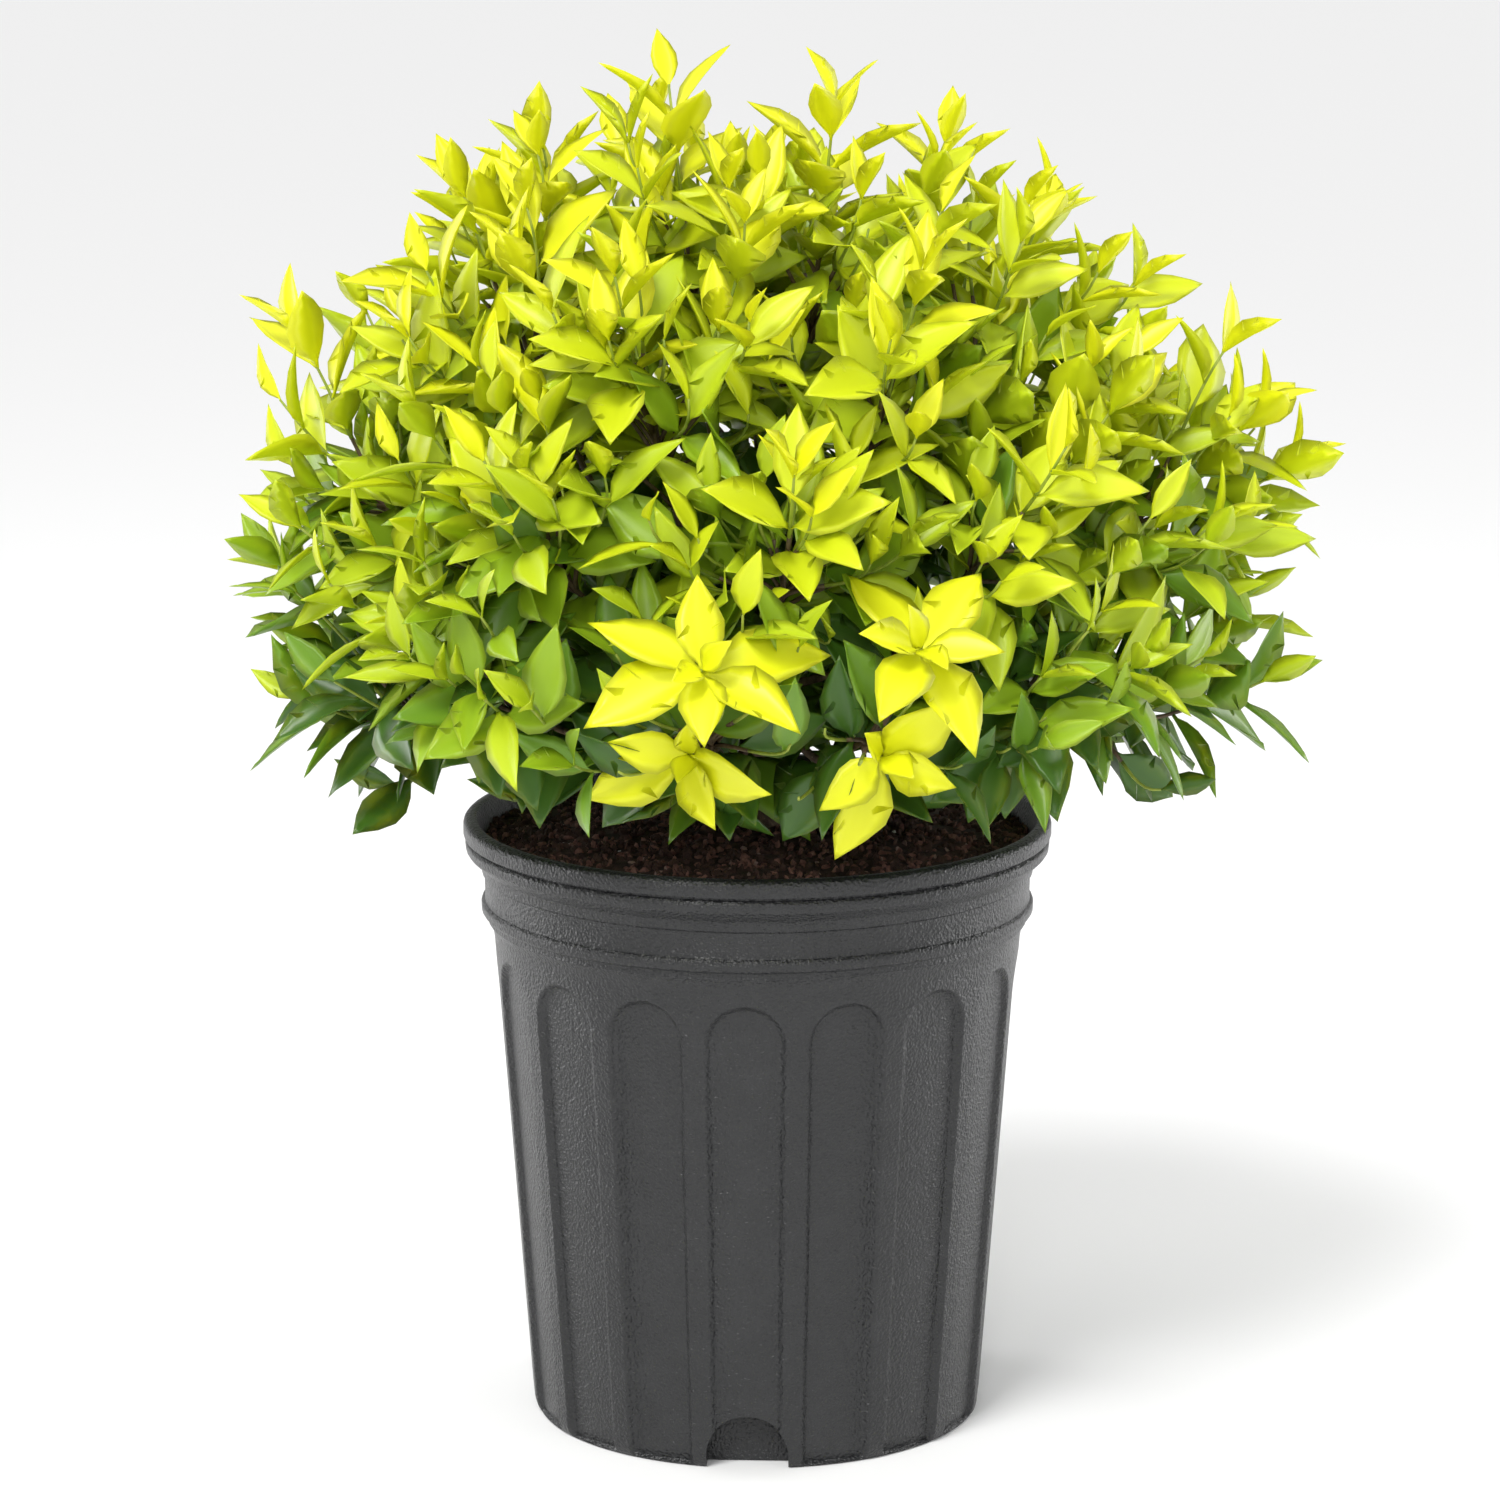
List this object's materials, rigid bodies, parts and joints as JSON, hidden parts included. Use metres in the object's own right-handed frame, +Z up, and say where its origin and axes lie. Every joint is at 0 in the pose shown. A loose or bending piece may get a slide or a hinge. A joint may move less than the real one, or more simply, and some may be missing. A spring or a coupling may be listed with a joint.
{
  "type": "potted golden chinese privet",
  "caption": "Rounded bushy privet with small yellow-green leaves in opposite pairs, growing in a round black ribbed nursery pot filled with bark potting mix.",
  "frame": {"origin": "middle of the pot's flat underside", "axes": "+Z up along the stem, -Y towards the side that the picture shows, +X to its right"},
  "size_m": [0.4291, 0.3649, 0.5358],
  "materials": {
    "pot": "fine pebble grain",
    "soil": "rough bark and fibre",
    "bark": "matt",
    "leaves": "satin"
  },
  "bodies": {
    "root": {"pot": "pot", "soil": "soil", "trunk": "bark", "leader_top_left": "bark", "leader_top_right": "bark", "leader_front": "bark", "leader_left": "bark", "leader_right": "bark", "leader_back": "bark", "bough_shoulder_left": "bark", "bough_shoulder_right": "bark", "bough_front_top_left": "bark", "bough_front_top_right": "bark", "bough_back_top": "bark", "bough_front_left": "bark", "bough_front_right": "bark", "bough_front_low_left": "bark", "bough_front_low_right": "bark", "bough_side_left": "bark", "bough_side_right": "bark", "bough_left_low": "bark", "bough_right_low": "bark", "bough_back_left": "bark", "bough_back_right": "bark", "bough_back_low_left": "bark", "bough_back_low_right": "bark", "bough_back_low": "bark", "foliage_crown_left": "leaves", "foliage_crown_right": "leaves", "foliage_front_mid": "leaves", "foliage_left_high": "leaves", "foliage_right_high": "leaves", "foliage_back_mid": "leaves", "foliage_shoulder_left": "leaves", "foliage_shoulder_right": "leaves", "foliage_front_top_left": "leaves", "foliage_front_top_right": "leaves", "foliage_back_top": "leaves", "foliage_front_left": "leaves", "foliage_front_right": "leaves", "foliage_front_low_left": "leaves", "foliage_front_low_right": "leaves", "foliage_side_left": "leaves", "foliage_side_right": "leaves", "foliage_left_low": "leaves", "foliage_right_low": "leaves", "foliage_back_left": "leaves", "foliage_back_right": "leaves", "foliage_back_low_left": "leaves", "foliage_back_low_right": "leaves", "foliage_back_low": "leaves"}
  },
  "joints": []
}
